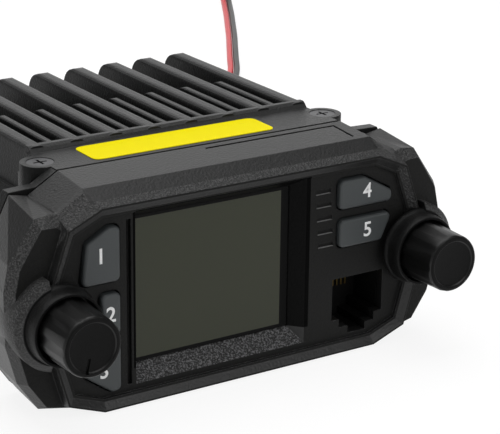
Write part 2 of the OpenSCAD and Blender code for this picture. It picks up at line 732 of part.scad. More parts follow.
// Push switches on the control board, each with a well for a key's stem
module switch_bodies() color("#1d1d1e") seat() for (p = key_stems) difference() {
  along_y(board_y - switch_h, board_y) translate(p) square([switch_w, switch_w], center = true);
  rod(p, board_y - switch_h - over, board_y - switch_h + switch_well, stem_r + 0.35);
}

// Key: soft-edged cap, retaining flange and stem
module key(outline, stem) color(key_grey) seat() {
  front = face_y - key_proud;
  loft([for (e = [[0, 0.55], [0.12, 0.25], [0.35, 0.07], [0.7, 0], [pocket_y + fit - front, 0]])
    [front + e[0], rounded(inset(outline, e[1]), key_r - e[1] * 0.8)]]);
  along_y(pocket_y + fit, pocket_y + fit + key_flange_t) polygon(inset(outline, -key_flange));
  rod(stem, pocket_y + fit, board_y - switch_h + switch_well - key_travel - 0.8, stem_r);
}

module upper_left_key() key(upper_left, key_stems[0]);
module middle_left_key() key(middle_left, key_stems[1]);
module lower_left_key() key(lower_left, key_stems[2]);
module upper_right_key() key(upper_right, key_stems[3]);
module lower_right_key() key(lower_right, key_stems[4]);

// Rotary control: square case on the control board and a bushing through the panel
module rotary_control(s) seat() difference() {
  union() {
    along_y(board_y - control_d, board_y) polygon(control_outline(s, 0));
    rod([s * knob_x, knob_z], well_y + 0.2, board_y, bushing_r);
  }
  rod([s * knob_x, knob_z], 0, shaft_end + 0.2, shaft_r + shaft_fit);
}

module control_shaft(s) seat() difference() {
  rod([s * knob_x, knob_z], -shaft_l, shaft_end, shaft_r);
  block([s * knob_x - shaft_r, -shaft_l - over, knob_z + shaft_r - flat_t],
    [s * knob_x + shaft_r, knob_foot - 1.5, knob_z + shaft_r + over]);
}

// Knob standing on its foot: tapered and fluted, with a dished end and a bore with a flat
module knob(pointer) rotate([90, 0, 0]) difference() {
  rotate_extrude($fn = 64) polygon(concat([[0, 0], [knob_r, 0], [knob_r, 1.4]],
    arc([knob_end_r - 0.7, knob_l - 0.7], 0.7, 0, 90, 5),
    [[knob_end_r - 1, knob_l], [knob_end_r - 1.3, knob_l - 0.3], [3, knob_l - 0.42], [1.5, knob_l - 0.48],
    [0, knob_l - 0.48]]));
  for (i = [0:flutes - 1]) rotate(i * 360 / flutes) flute();
  difference() {
    translate([0, 0, -over]) cylinder(h = shaft_l + knob_foot + 0.3 + over, r = shaft_r + 0.03);
    block([-shaft_r, shaft_r - flat_t + 0.03, 1.6], [shaft_r, shaft_r + over, knob_l]);
  }
  if (pointer) rotate(pointer_angle) block([2.2, -0.3, knob_l - 0.75], [5, 0.3, knob_l + over]);
}

// Shallow hollow along the grip of a knob
module flute() {
  end_r = flute_r + knob_r - knob_end_r - flute_t + flute_end_t;
  translate([knob_r + flute_r - flute_t, 0, 1.8]) cylinder(h = knob_l, r1 = flute_r, r2 = end_r);
}

module volume_pot() color(steel) rotary_control(-1);
module channel_encoder() color(steel) rotary_control(1);
module volume_shaft() color(steel) control_shaft(-1);
module channel_shaft() color(steel) control_shaft(1);
module volume_knob() color("#222324") seat() translate([-knob_x, knob_foot, knob_z]) knob(true);
module channel_knob() color("#222324") seat() translate([knob_x, knob_foot, knob_z]) knob(false);

// Microphone socket and its eight contacts
module microphone_socket() color("#141414") seat() difference() {
  along_y(pocket_y + fit, board_y) polygon(jack_body(0));
  along_y(0, board_y - jack_back) polygon(jack_outline(0));
}

module microphone_contacts() color(brass) seat() for (i = [0:7]) {
  x = jack_x + (i - 3.5) * 1.02;
  block([x - 0.2, pocket_y + 2, jack_z + jack_h - 0.5], [x + 0.2, board_y - jack_back, jack_z + jack_h]);
  block([x - 0.2, board_y - jack_back - 0.4, jack_z + 3],
    [x + 0.2, board_y - jack_back, jack_z + jack_h - 0.5]);
}

// Main board under the deck
module main_board() color(board_green) seat() difference() {
  block([-main_half_w, main_front, main_z], [main_half_w, main_rear, main_z + board_t]);
  for (p = main_posts) translate([p[0], p[1], main_z - over]) cylinder(h = 4, r = main_screw_r + screw_fit);
}

module main_board_screws() color(steel) seat() for (p = main_posts)
  translate([p[0], p[1], main_z]) mirror([0, 0, 1]) pan_screw(main_screw_r, 2.6, 1.5, main_screw_l);

module screening_can() color(steel) seat() difference() {
  block([can_x - can_w / 2, can_front, main_z + board_t],
    [can_x + can_w / 2, can_rear, main_z + board_t + can_h]);
  block([can_x - can_w / 2 + can_t, can_front + can_t, main_z],
    [can_x + can_w / 2 - can_t, can_rear - can_t, main_z + board_t + can_h - can_t]);
}

// Output stage pressed against the deck
module power_module() color("#b8b4a8") seat() difference() {
  union() {
    block([module_x - module_w / 2, module_y - module_d / 2, deck_z - module_h],
      [module_x + module_w / 2, module_y + module_d / 2, deck_z]);
    block([module_x - module_tab_w / 2, module_y - module_tab_d / 2, deck_z - module_tab_t],
      [module_x + module_tab_w / 2, module_y + module_tab_d / 2, deck_z]);
  }
  for (p = module_screws) translate([p[0], p[1], deck_z - module_tab_t - over])
    cylinder(h = module_tab_t + 2 * over, r = main_screw_r + screw_fit);
}

module power_module_screws() color(steel) seat() for (p = module_screws)
  translate([p[0], p[1], deck_z - module_tab_t]) mirror([0, 0, 1])
    pan_screw(main_screw_r, 2.6, 1.8, module_tab_t + 3);

module filter_capacitor() color("#26324a") seat() translate([capacitor_x, capacitor_y, main_z + board_t])
  rotate_extrude() polygon([[0, 0], [capacitor_r, 0], [capacitor_r, 1.2], [capacitor_r - 0.3, 1.6],
    [capacitor_r, 2], [capacitor_r, capacitor_h - 0.4], [capacitor_r - 0.5, capacitor_h], [0, capacitor_h]]);

// Connectors of the two boards and the flat cable between them
module board_connectors() color("#e4e0d0") seat() {
  w = link_w / 2 + 1;
  block([-w, board_y + board_t, link_z - 1.5], [w, board_y + board_t + 2.4, link_z + 1.5]);
  block([-w, main_front + 3, main_z + board_t], [w, main_front + 6, main_z + board_t + 3]);
}

module ribbon_cable() color("#c9c6bd") seat() {
  y0 = board_y + board_t + 2.4;
  y1 = main_front + 3;
  z1 = main_z + board_t + 1.5;
  across(link_w) polygon([[y0, link_z - cable_t / 2], [y1 - 3 - cable_t / 2, link_z - cable_t / 2],
    [y1 - 3 - cable_t / 2, z1 - cable_t / 2], [y1, z1 - cable_t / 2], [y1, z1 + cable_t / 2],
    [y1 - 3 + cable_t / 2, z1 + cable_t / 2], [y1 - 3 + cable_t / 2, link_z + cable_t / 2],
    [y0, link_z + cable_t / 2]]);
}

// Speaker, facing down on the bottom cover
module speaker_gasket() color("#1b1b1b") seat() translate([0, speaker_y, cover_t]) difference() {
  cylinder(h = gasket_t, r = speaker_r);
  translate([0, 0, -over]) cylinder(h = gasket_t + 2 * over, r = speaker_r - speaker_rim);
}

module speaker_basket() color(steel) seat() translate([0, speaker_y, basket_z]) rotate_extrude()
  polygon([[speaker_r - speaker_rim, 0], [speaker_r, 0], [speaker_r, 1.2], [speaker_r - speaker_rim, 1.2],
    [magnet_r, basket_h], [coil_r, basket_h], [coil_r, basket_h - basket_t],
    [magnet_r - basket_t / 2, basket_h - basket_t], [speaker_r - speaker_rim - basket_t / 2, 0.6]]);

module speaker_cone() color("#3b3936") seat() translate([0, speaker_y, basket_z]) rotate_extrude()
  polygon([[0, basket_h - 2.2], [coil_r - 1, basket_h - 1.8], [speaker_r - speaker_rim - 1.2, 0.3],
    [speaker_r - speaker_rim - 0.2, 0.3], [speaker_r - speaker_rim - 1, 0.7], [coil_r - 0.6, basket_h - 1.3],
    [coil_r - 0.6, basket_h + 0.2], [coil_r - 1.2, basket_h + 0.2], [coil_r - 1.2, basket_h - 1.4],
    [0, basket_h - 1.8]]);

module speaker_magnet() color("#4b4d50") seat() translate([0, speaker_y, basket_z + basket_h]) difference() {
  cylinder(h = magnet_h, r = magnet_r);
  translate([0, 0, -over]) cylinder(h = over + 1.4, r = coil_r);
}

// Antenna socket on the rear wall: square flange, threaded barrel, insulator and centre contact
module antenna_flange() color(steel) seat() along_y(rear_y, rear_y + aerial_flange_t) difference() {
  half = aerial_flange / 2;
  translate([aerial_x, aerial_z]) polygon(rounded(box_outline(-half, -half, half, half), 2));
  translate([aerial_x, aerial_z]) circle(r = aerial_neck_r + screw_fit);
  for (p = aerial_screws) translate(p) circle(r = main_screw_r + screw_fit);
}

module antenna_socket() color(steel) seat() difference() {
  union() {
    rod([aerial_x, aerial_z], rear_y, rear_y + aerial_flange_t, aerial_neck_r);
    rod([aerial_x, aerial_z], rear_y + aerial_flange_t, aerial_reach, aerial_r);
  }
  rod([aerial_x, aerial_z], rear_y - over, aerial_reach + over, aerial_bore);
}

module antenna_insulator() color("#e9e6dd") seat() difference() {
  rod([aerial_x, aerial_z], rear_y - aerial_tail, rear_y + aerial_cup, aerial_bore - 0.02);
  rod([aerial_x, aerial_z], rear_y - aerial_tail - over, rear_y + aerial_cup + over, contact_r + 0.02);
}

module antenna_contact() color(brass) seat() difference() {
  rod([aerial_x, aerial_z], rear_y - aerial_tail - 0.7, aerial_reach - 1.5, contact_r);
  rod([aerial_x, aerial_z], aerial_reach - 11, aerial_reach, 2);
}

module antenna_screws() color(steel) seat() for (p = aerial_screws)
  translate([p[0], rear_y + aerial_flange_t, p[1]]) rotate([-90, 0, 0]) pan_screw(main_screw_r, 2.5, 1.6, 7);

// External speaker socket
module speaker_jack() color("#1a1a1b") seat() difference() {
  union() {
    block([jack35_x - 4, cavity_rear - 11, jack35_z - 4.5], [jack35_x + 4, cavity_rear, jack35_z + 4.5]);
    rod([jack35_x, jack35_z], cavity_rear - over, rear_y + 3.2, jack35_r);
  }
  rod([jack35_x, jack35_z], cavity_rear - 9, rear_y + 4, 1.8);
}

module speaker_jack_nut() color(steel) seat() difference() {
  rod([jack35_x, jack35_z], rear_y, rear_y + 2, 4.4);
  rod([jack35_x, jack35_z], rear_y - over, rear_y + 3, jack35_r + screw_fit);
}

// Grommet of the power lead: flanges on both sides of the wall and a tapered tail
module lead_grommet() color("#19191a") seat() translate([lead_x, rear_y, lead_z]) rotate([-90, 0, 0])
  rotate_extrude() polygon([[0, -body_wall - 1.2], [5.2, -body_wall - 1.2], [5.2, -body_wall],
    [grommet_neck_r, -body_wall], [grommet_neck_r, 0], [5.4, 0], [5.4, 1.2], [4.2, 2],
    [2.9, grommet_l], [0, grommet_l]]);

// Power lead: two conductors side by side along the route
function spline(p0, p1, p2, p3, t) = 0.5 * ((2 * p1) + (p2 - p0) * t
  + (2 * p0 - 5 * p1 + 4 * p2 - p3) * t * t + (3 * p1 - p0 - 3 * p2 + p3) * t * t * t);
function route_point(i) = lead_route[max(0, min(len(lead_route) - 1, i))];
lead_line = [for (i = [0:len(lead_route) - 2], k = [0:lead_steps - 1])
  spline(route_point(i - 1), route_point(i), route_point(i + 1), route_point(i + 2), k / lead_steps),
  route_point(len(lead_route) - 1)];
function heading(i) = i == 0 ? [0, 1, 0]
  : unit(lead_line[min(i + 1, len(lead_line) - 1)] - lead_line[i - 1]);
function sideways(i) = let (h = heading(i)) unit([h[1], -h[0], 0]);

// Tube round one conductor, offset to one side of the middle line
module conductor(side) {
  n = 8;
  m = len(lead_line);
  points = [for (i = [0:m - 1], k = [0:n - 1])
    let (a = sideways(i), u = cross(a, heading(i)), c = lead_line[i] + side * (lead_d / 2 + 0.03) * a)
    c + lead_d / 2 * (cos((k + 0.5) * 360 / n) * a + sin((k + 0.5) * 360 / n) * u)];
  sides = [for (i = [0:m - 2], k = [0:n - 1], t = [0, 1])
    let (a = i * n + k, b = i * n + (k + 1) % n)
    t == 0 ? [a, b, b + n] : [a, b + n, a + n]];
  polyhedron(points = points, faces = concat([[for (k = [n - 1:-1:0]) k]], sides,
    [[for (k = [0:n - 1]) (m - 1) * n + k]]));
}

module power_lead_red() color("#c8202c") seat() conductor(-1);
module power_lead_black() color("#202021") seat() conductor(1);

// Two-pole connector at the end of the lead, in line with it
module lead_connector() color("#d9d5c8") seat() {
  last = len(lead_line) - 1;
  h = heading(last);
  translate([lead_line[last][0], lead_line[last][1], 0]) rotate(atan2(h[1], h[0])) difference() {
    block([0, -connector_w / 2, 0], [connector_l, connector_w / 2, connector_h]);
    for (s = [-1, 1]) block([connector_l - 9, s * 2 - 1.2, 1.8], [connector_l + over, s * 2 + 1.2, 4.2]);
    block([6, -connector_w / 2 - over, connector_h - 0.8], [8, connector_w / 2 + over, connector_h + over]);
  }
}

chassis();
front_panel();
front_panel_screws();
top_label();
bottom_cover();
cover_screws();
display_lens();
display_cell();
display_holder();
control_board();
control_board_screws();
switch_bodies();
upper_left_key();
middle_left_key();
lower_left_key();
upper_right_key();
lower_right_key();
volume_pot();
volume_shaft();
volume_knob();
channel_encoder();
channel_shaft();
channel_knob();
microphone_socket();
microphone_contacts();
main_board();
main_board_screws();
screening_can();
power_module();
power_module_screws();
filter_capacitor();
board_connectors();
ribbon_cable();
speaker_gasket();
speaker_basket();
speaker_cone();
speaker_magnet();
antenna_flange();
antenna_socket();
antenna_insulator();
antenna_contact();
antenna_screws();
speaker_jack();
speaker_jack_nut();
lead_grommet();
power_lead_red();
power_lead_black();
lead_connector();
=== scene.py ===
"""Looks of a compact mobile transceiver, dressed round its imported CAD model."""

import json
import math

import bpy
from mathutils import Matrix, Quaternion, Vector


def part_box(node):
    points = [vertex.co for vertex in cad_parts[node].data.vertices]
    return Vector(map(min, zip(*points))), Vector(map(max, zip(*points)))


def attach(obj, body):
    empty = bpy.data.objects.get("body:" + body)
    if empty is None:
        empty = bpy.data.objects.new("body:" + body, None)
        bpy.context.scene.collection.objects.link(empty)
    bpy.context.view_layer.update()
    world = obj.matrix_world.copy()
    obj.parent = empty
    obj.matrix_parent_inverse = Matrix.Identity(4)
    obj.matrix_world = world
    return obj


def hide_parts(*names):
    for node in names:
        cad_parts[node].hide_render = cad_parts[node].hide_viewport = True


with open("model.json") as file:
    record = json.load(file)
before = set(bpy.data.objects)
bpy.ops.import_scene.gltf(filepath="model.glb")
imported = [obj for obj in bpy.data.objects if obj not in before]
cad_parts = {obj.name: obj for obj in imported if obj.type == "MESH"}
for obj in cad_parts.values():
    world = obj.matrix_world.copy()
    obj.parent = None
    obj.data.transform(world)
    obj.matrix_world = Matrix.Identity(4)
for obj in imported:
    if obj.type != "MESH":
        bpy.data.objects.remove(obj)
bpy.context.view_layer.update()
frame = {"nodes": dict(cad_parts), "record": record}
nodes = frame["nodes"]

# Lengths are in millimetres, apart from those of the studio at the end, which are in metres.
# Depths are measured from the rim of the front panel.
MM = 0.001
CHASSIS_FRONT = 15.8
RIM_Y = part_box("chassis")[0].y / MM - CHASSIS_FRONT
ROOT = "radio"
KEYS = ("upper_left_key", "middle_left_key", "lower_left_key", "upper_right_key", "lower_right_key")
KNOBS = ("volume_knob", "channel_knob")


def at(x, y, z):
    """Point in metres from millimetres, with y behind the panel's rim."""
    return Vector((x, y + RIM_Y, z)) * MM


def add_object(name, data):
    """New object in the scene."""
    made = bpy.data.objects.new(name, data)
    bpy.context.scene.collection.objects.link(made)
    return made


# Camera at the photograph's angle

CAMERA_PLACE = (-182.64, -280.32, 149.95)
CAMERA_AZIMUTH = -33.173
CAMERA_ELEVATION = 19.204
CAMERA_ROLL = 0.707
CAMERA_LENS = 134.95
SENSOR = 36


def add_camera():
    """Camera placed and turned as the photograph was taken."""
    data = bpy.data.cameras.new("camera")
    data.lens = CAMERA_LENS
    data.sensor_width = SENSOR
    camera = add_object("camera", data)
    a = math.radians(CAMERA_AZIMUTH)
    e = math.radians(CAMERA_ELEVATION)
    back = Vector((math.sin(a) * math.cos(e), -math.cos(a) * math.cos(e), math.sin(e)))
    roll = Quaternion((0, 0, 1), math.radians(CAMERA_ROLL))
    camera.location = at(*CAMERA_PLACE)
    camera.rotation_mode = "QUATERNION"
    camera.rotation_quaternion = (-back).to_track_quat("-Z", "Y") @ roll
    bpy.context.scene.camera = camera


add_camera()


# Tools for paints

class NodeTree:
    """Shader nodes, with short calls for making and joining them."""

    def __init__(self, tree):
        self.tree = tree

    def node(self, kind, inputs=(), **settings):
        """New node; an input is a socket to link or a plain value."""
        made = self.tree.nodes.new(kind)
        for name, value in settings.items():
            setattr(made, name, value)
        for key, value in dict(inputs).items():
            if isinstance(value, bpy.types.NodeSocket):
                self.tree.links.new(value, made.inputs[key])
            else:
                made.inputs[key].default_value = value
        return made

    def sum(self, operation, a, b):
        """Result of one operation on two values."""
        return self.node("ShaderNodeMath", {0: a, 1: b}, operation=operation).outputs[0]

    def over(self, value, limit):
        """One where a value is above a limit, else nought."""
        return self.sum("GREATER_THAN", value, limit)

    def under(self, value, limit):
        """One where a value is below a limit, else nought."""
        return self.sum("LESS_THAN", value, limit)

    def between(self, value, low, high):
        """One where a value lies between two limits, else nought."""
        return self.all_of(self.over(value, low), self.under(value, high))

    def all_of(self, *masks):
        """Product of masks: one where every mask is one."""
        total = masks[0]
        for mask in masks[1:]:
            total = self.sum("MULTIPLY", total, mask)
        return total

    def any_of(self, *masks):
        """Highest of some masks: one where any mask is one."""
        total = masks[0]
        for mask in masks[1:]:
            total = self.sum("MAXIMUM", total, mask)
        return total

    def spread(self, value, low, high, start=0.0, end=1.0):
        """A value's stretch from start to end, laid over low to high."""
        inputs = {"Value": value, "From Min": start, "From Max": end, "To Min": low, "To Max": high}
        return self.node("ShaderNodeMapRange", inputs).outputs["Result"]

    def mix(self, share, a, b):
        """Colour between two, each a socket or a plain colour."""
        made = self.node("ShaderNodeMix", {"Factor": share}, data_type="RGBA")
        for key, value in (("A", a), ("B", b)):
            socket = next(s for s in made.inputs if s.identifier == key + "_Color")
            if isinstance(value, bpy.types.NodeSocket):
                self.tree.links.new(value, socket)
            else:
                socket.default_value = (*value, 1)
        return next(s for s in made.outputs if s.identifier == "Result_Color")

    def parts(self, vector):
        """The three parts of a vector."""
        return self.node("ShaderNodeSeparateXYZ", {0: vector}).outputs


class Paint(NodeTree):
    """A material built from nodes round one shader."""

    def __init__(self, name, color, roughness, specular=0.5, metallic=0.0):
        self.material = bpy.data.materials.new(name)
        self.material.use_nodes = True
        super().__init__(self.material.node_tree)
        self.shader = self.tree.nodes["Principled BSDF"]
        self.shader.inputs["Base Color"].default_value = (*color, 1)
        self.shader.inputs["Roughness"].default_value = roughness
        self.shader.inputs["Specular IOR Level"].default_value = specular
        self.shader.inputs["Metallic"].default_value = metallic
        self.place = self.node("ShaderNodeTexCoord").outputs["Object"]

    def feed(self, socket, value):
        """Links a varying value to a socket of the shader."""
        self.tree.links.new(value, self.shader.inputs[socket])

    def normal(self, kind="True Normal"):
        """The three parts of the surface's own direction."""
        return self.parts(self.node("ShaderNodeNewGeometry").outputs[kind])

    def noise(self, size, detail=3.0, rough=0.5):
        """Noise with grains of about that size."""
        inputs = {"Vector": self.place, "Scale": 1 / (size * MM), "Detail": detail, "Roughness": rough}
        return self.node("ShaderNodeTexNoise", inputs).outputs["Fac"]

    def rounded(self, radius):
        """Normal that turns softly over sharp edges."""
        return self.node("ShaderNodeBevel", {"Radius": radius * MM}).outputs["Normal"]

    def bump(self, height, strength, depth, under=None):
        """Bumps of a height, over any bumps below them."""
        inputs = {"Height": height, "Strength": strength, "Distance": depth * MM}
        if under is not None:
            inputs["Normal"] = under
        return self.node("ShaderNodeBump", inputs).outputs["Normal"]


def grey(tone):
    """Colour with no hue."""
    return (tone, tone, tone)


# Plain paints and metals

BROAD_GRAINS = 60
GLOSS_CHANGE = 0.06
METAL_GRAIN = 0.3
METAL_GLOSS_CHANGE = 0.08


def speckled(name, color, specular, roughness, grain, depth, strength, variety):
    """Matte surface with fine bumps and a little change of tone and gloss."""
    paint = Paint(name, color, roughness, specular)
    fine = paint.noise(grain)
    broad = paint.noise(grain * BROAD_GRAINS)
    darker = tuple(c * (1 - variety) for c in color)
    lighter = tuple(c * (1 + variety) for c in color)
    paint.feed("Base Color", paint.mix(fine, darker, lighter))
    paint.feed("Roughness", paint.spread(broad, roughness - GLOSS_CHANGE, roughness + GLOSS_CHANGE))
    paint.feed("Normal", paint.bump(fine, strength, depth))
    return paint.material


def metal(name, color, roughness):
    """Plated or bare metal with a faint drawn grain."""
    paint = Paint(name, color, roughness, metallic=1.0)
    fine = paint.noise(METAL_GRAIN)
    change = METAL_GLOSS_CHANGE
    paint.feed("Roughness", paint.spread(fine, roughness - change, roughness + change))
    paint.feed("Normal", paint.bump(fine, strength=0.15, depth=0.01))
    return paint.material


# Powder coat of the chassis and cover. A face looks up where its normal's z is above the limit.

UPWARD = 0.6
EDGE_ROUNDING = 0.4


def powder_coat():
    """Black powder coat: fine orange peel with small grains, and a painted sheen: stronger reflection on
    faces that look up.
    """
    paint = Paint("powder_coat", grey(0.010), roughness=0.42, specular=0.3)
    top = paint.over(paint.normal()[2], UPWARD)
    grain = paint.noise(0.5, rough=0.6)
    peel = paint.noise(1.6, detail=2)
    broad = paint.noise(30)
    paint.feed("Base Color", paint.mix(grain, grey(0.004), (0.015, 0.0155, 0.0155)))
    paint.feed("Roughness", paint.spread(broad, 0.38, 0.50))
    # Painted sheen: the specular level is raised on faces that look up.
    paint.feed("Specular IOR Level", paint.spread(top, 0.12, 0.46))
    low = paint.bump(peel, strength=0.25, depth=0.05, under=paint.rounded(EDGE_ROUNDING))
    paint.feed("Normal", paint.bump(grain, strength=0.8, depth=0.16, under=low))
    return paint.material


# Moulding of the front panel. Each finish, and each patch of painted light or shade, has limits of place,
# and of direction as a part of the surface's normal, where forward is minus y and upward is plus z.

KNOB_X = 40.2
KNOB_Z = 20.2
COLLAR_R = 7.8
COLLAR_DEPTH = 1.0
FORWARD = -0.9
SLANT_LEAST = (-0.30, -0.10)
SLANT_MOST = (-0.95, -0.85)
GRIT_DEPTH = 4.6
GRIT_RISE = 0.1
GRIT_SIDE = 36
GRIT_START = 10
GRIT_FULL = 22
BEVEL_DEPTH = 1.9
BEVEL_SIDE = 32.3
BEVEL_BOTTOM = 40
RAMP_DEPTH = 1.0
RAMP_TOP = 8
RAMP_RISE = 0.3
RECESS_DEPTH = 1.05
RECESS_LEFT = -23.8
RECESS_RIGHT = 15.8
RECESS_BOTTOM = 7
RECESS_RISE = 0.3
RECESS_FACING = -0.02
LIP_DEPTH = 1.0
LIP_RIGHT = 22.5
LIP_BOTTOM = 15
LIP_TOP = 38
LIP_RISE = 0.6


def collar_mask(paint, side, z, depth):
    """One on the ring round each knob."""
    squares = [paint.sum("POWER", paint.sum("ABSOLUTE", paint.sum("SUBTRACT", value, middle * MM), 0.0), 2.0)
               for value, middle in ((side, KNOB_X), (z, KNOB_Z))]
    inside = paint.under(paint.sum("ADD", *squares), (COLLAR_R * MM) ** 2)
    return paint.all_of(inside, paint.under(depth, COLLAR_DEPTH * MM))


def panel_masks(paint):
    """Masks of the panel's finishes and of its painted light and shade, each one where it lies and nought
    elsewhere.
    """
    x, y, z = paint.parts(paint.place)
    _, ny, nz = paint.normal("Normal")
    side = paint.sum("ABSOLUTE", x, 0.0)
    depth = paint.sum("SUBTRACT", y, RIM_Y * MM)
    slanted = paint.all_of(paint.spread(ny, 1, 0, *SLANT_LEAST), paint.spread(ny, 0, 1, *SLANT_MOST))
    # The grit's pale grains go on edges that look up or out, and fade out towards the bottom: a painted
    # highlight.
    edge = paint.all_of(paint.under(depth, GRIT_DEPTH * MM),
                        paint.any_of(paint.over(nz, GRIT_RISE), paint.over(side, GRIT_SIDE * MM)))
    bevel = paint.all_of(paint.over(depth, BEVEL_DEPTH * MM), paint.under(side, BEVEL_SIDE * MM),
                         paint.over(z, BEVEL_BOTTOM * MM))
    ramp = paint.all_of(paint.over(depth, RAMP_DEPTH * MM), paint.under(z, RAMP_TOP * MM),
                        paint.over(nz, RAMP_RISE), slanted)
    upper = paint.any_of(paint.spread(z, 0, 1, GRIT_START * MM, GRIT_FULL * MM), ramp)
    recess = paint.all_of(paint.over(depth, RECESS_DEPTH * MM),
                          paint.between(x, RECESS_LEFT * MM, RECESS_RIGHT * MM),
                          paint.under(nz, RECESS_RISE), paint.over(z, RECESS_BOTTOM * MM),
                          paint.under(ny, RECESS_FACING))
    # Lower sides of the slots, which look up: a painted highlight.
    slot_highlight = paint.all_of(paint.between(x, RECESS_RIGHT * MM, LIP_RIGHT * MM), paint.over(nz, LIP_RISE),
                       paint.over(depth, LIP_DEPTH * MM), paint.between(z, LIP_BOTTOM * MM, LIP_TOP * MM))
    return {
        "front": paint.under(ny, FORWARD),
        "bevel": paint.all_of(bevel, slanted),
        "ramp": ramp,
        "grit_and_highlight": paint.all_of(slanted, edge, upper, paint.sum("SUBTRACT", 1.0, bevel)),
        "recess": recess,
        "slot_highlight": slot_highlight,
        "collar": collar_mask(paint, side, z, depth),
    }


def panel_moulding():
    """Dark moulding: smooth on top, coarse grit on the forward edges and fine-grained in front, the grit's
    pale grains on faces that look up being a painted highlight that fades out towards the bottom.

    The recess walls round the window are painted near black with little gloss, as painted shade, and the
    lower sides of the five short slots are painted pale, as a painted highlight.
    """
    paint = Paint("panel_moulding", grey(0.010), roughness=0.45, specular=0.25)
    mask = panel_masks(paint)
    fine = paint.noise(0.5)
    grit = paint.noise(0.36, detail=2, rough=0.6)
    grains = paint.spread(grit, 0, 1, 0.46, 0.62)
    plain = paint.mix(fine, grey(0.006), grey(0.013))
    # Faces that look forward are painted darker than the rest: painted shade over their own finer grain.
    front = paint.mix(fine, (0.003, 0.003, 0.0028), (0.010, 0.010, 0.0095))
    # Pale grains of the grit: partly the grit's own texture, partly a painted highlight, brightest on the
    # ramp under the window.
    bright = paint.mix(mask["ramp"], grey(0.05), (0.16, 0.16, 0.165))
    sparkle = paint.mix(grains, grey(0.002), bright)
    color = paint.mix(mask["front"], plain, front)
    color = paint.mix(mask["grit_and_highlight"], color, sparkle)
    # The lower sides of the slots are painted pale, as a painted highlight.
    color = paint.mix(mask["slot_highlight"], color, grey(0.30))
    color = paint.mix(mask["collar"], color, grey(0.005))
    # The recess walls round the window are painted near black: painted shade.
    paint.feed("Base Color", paint.mix(mask["recess"], color, grey(0.002)))
    paint.feed("Roughness", paint.any_of(paint.spread(mask["grit_and_highlight"], 0.42, 0.5),
                                         paint.spread(mask["front"], 0.42, 0.62)))
    # Specular level: the weaker reflection on faces that look forward and in the recess round the window is
    # painted shade.
    gloss = paint.all_of(paint.spread(mask["front"], 0.5, 0.18), paint.spread(mask["collar"], 1.0, 0.5),
                         paint.spread(mask["bevel"], 1.0, 0.6), paint.spread(mask["recess"], 1.0, 0.15))
    paint.feed("Specular IOR Level", gloss)
    small = paint.bump(fine, strength=0.8, depth=0.12, under=paint.rounded(EDGE_ROUNDING))
    strength = paint.sum("SUBTRACT", mask["grit_and_highlight"], mask["collar"])
    paint.feed("Normal", paint.bump(grit, strength, depth=0.3, under=small))
    return paint.material


# Window and knobs. A face is on a knob's end where its normal's y is below the limit.

DISPLAY_LEFT = -21.8
DISPLAY_RIGHT = 10.75
DISPLAY_BOTTOM = 7.7
DISPLAY_TOP = 35.6
KNOB_END = -0.8


def window_glass():
    """Window over the unlit display, with a black border that the display doesn't reach."""
    paint = Paint("window_glass", (0.02, 0.02, 0.016), roughness=0.12, specular=0.36)
    x, _, z = paint.parts(paint.place)
    shown = paint.all_of(paint.between(x, DISPLAY_LEFT * MM, DISPLAY_RIGHT * MM),
                         paint.between(z, DISPLAY_BOTTOM * MM, DISPLAY_TOP * MM))
    paint.feed("Base Color", paint.mix(shown, grey(0.002), (0.021, 0.025, 0.007)))
    paint.feed("Roughness", paint.spread(shown, 0.6, 0.12))
    paint.feed("Specular IOR Level", paint.spread(shown, 0.1, 0.36))
    return paint.material


def knob_rubber():
    """Black rubber of the knobs, a little glossier on the grip than on the end."""
    paint = Paint("knob_rubber", grey(0.005), roughness=0.42, specular=0.2)
    end = paint.under(paint.normal()[1], KNOB_END)
    fine = paint.noise(0.3)
    paint.feed("Base Color", paint.mix(fine, grey(0.002), grey(0.008)))
    paint.feed("Roughness", paint.spread(end, 0.36, 0.5))
    paint.feed("Specular IOR Level", paint.spread(end, 0.32, 0.09))
    paint.feed("Normal", paint.bump(fine, strength=0.5, depth=0.03))
    return paint.material


# Paints by the record's material slots

SPECKLED = {
    # slot: colour, specular level, roughness, grain, bump depth, bump strength, variety of tone
    "key_rubber": ((0.046, 0.052, 0.054), 0.5, 0.55, 0.25, 0.02, 0.4, 0.12),
    "display": ((0.10, 0.10, 0.085), 0.5, 0.2, 0.4, 0.005, 0.1, 0.05),
    "white_moulding": ((0.62, 0.60, 0.54), 0.5, 0.5, 0.4, 0.01, 0.2, 0.04),
    "black_moulding": ((0.006, 0.006, 0.006), 0.12, 0.6, 0.3, 0.02, 0.3, 0.3),
    "yellow_label": ((0.98, 0.84, 0.0), 0.02, 0.5, 0.5, 0.005, 0.15, 0.02),
    "circuit_board": ((0.016, 0.10, 0.05), 0.5, 0.35, 0.8, 0.01, 0.2, 0.2),
    "module_cap": ((0.46, 0.44, 0.38), 0.5, 0.6, 0.3, 0.02, 0.3, 0.06),
    "capacitor_sleeve": ((0.02, 0.035, 0.09), 0.5, 0.3, 0.4, 0.005, 0.1, 0.1),
    "cone_paper": ((0.045, 0.042, 0.038), 0.5, 0.85, 0.4, 0.04, 0.5, 0.2),
    "red_insulation": ((0.72, 0.008, 0.02), 0.5, 0.35, 0.5, 0.01, 0.2, 0.06),
    "black_insulation": ((0.014, 0.014, 0.014), 0.5, 0.38, 0.5, 0.01, 0.2, 0.2),
    "legend_white": ((0.95, 0.95, 0.95), 0.5, 0.5, 0.2, 0.004, 0.2, 0.03),
}
METALS = {
    # slot: colour, roughness
    "bright_steel": ((0.55, 0.56, 0.57), 0.3),
    "dark_steel": ((0.10, 0.10, 0.105), 0.38),
    "brass_contact": ((0.12, 0.085, 0.03), 0.5),
    "magnet": ((0.16, 0.16, 0.17), 0.45),
}
